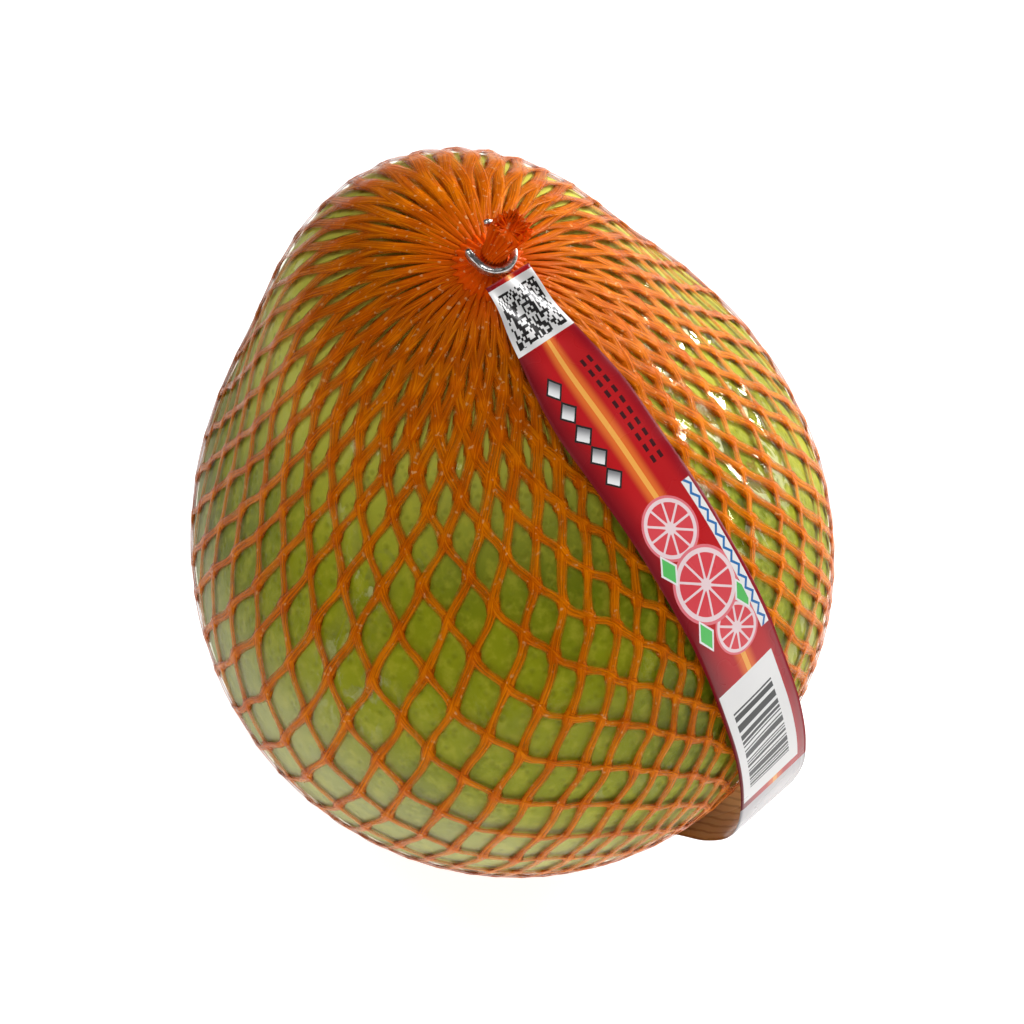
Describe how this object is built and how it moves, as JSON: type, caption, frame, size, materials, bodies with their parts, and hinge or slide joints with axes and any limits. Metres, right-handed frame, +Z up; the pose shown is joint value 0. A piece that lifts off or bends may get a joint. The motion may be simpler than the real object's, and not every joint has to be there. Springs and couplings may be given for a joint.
{
  "type": "pomelo",
  "caption": "Whole pear-shaped pomelo wrapped in clear film and a diamond mesh net clipped at both ends, with a flat label strap as its carrying handle.",
  "frame": {"origin": "middle of the bounding box at the base, on the surface that the fruit stands on", "axes": "+Z up through the fruit, -Y towards the label strap, +X to the right of someone who faces the strap"},
  "size_m": [0.155, 0.166, 0.1762],
  "materials": {
    "rind": "waxy dimpled citrus rind, yellow green",
    "film": "clear glossy wrapping film",
    "net": "translucent orange extruded plastic net",
    "clip": "bright flat wire",
    "strap": "glossy printed laminated film, deep red"
  },
  "bodies": {
    "root": {"pomelo": "rind", "film": "film", "net": "net", "top_clip": "clip", "bottom_clip": "clip", "label_strap": "strap"}
  },
  "joints": []
}
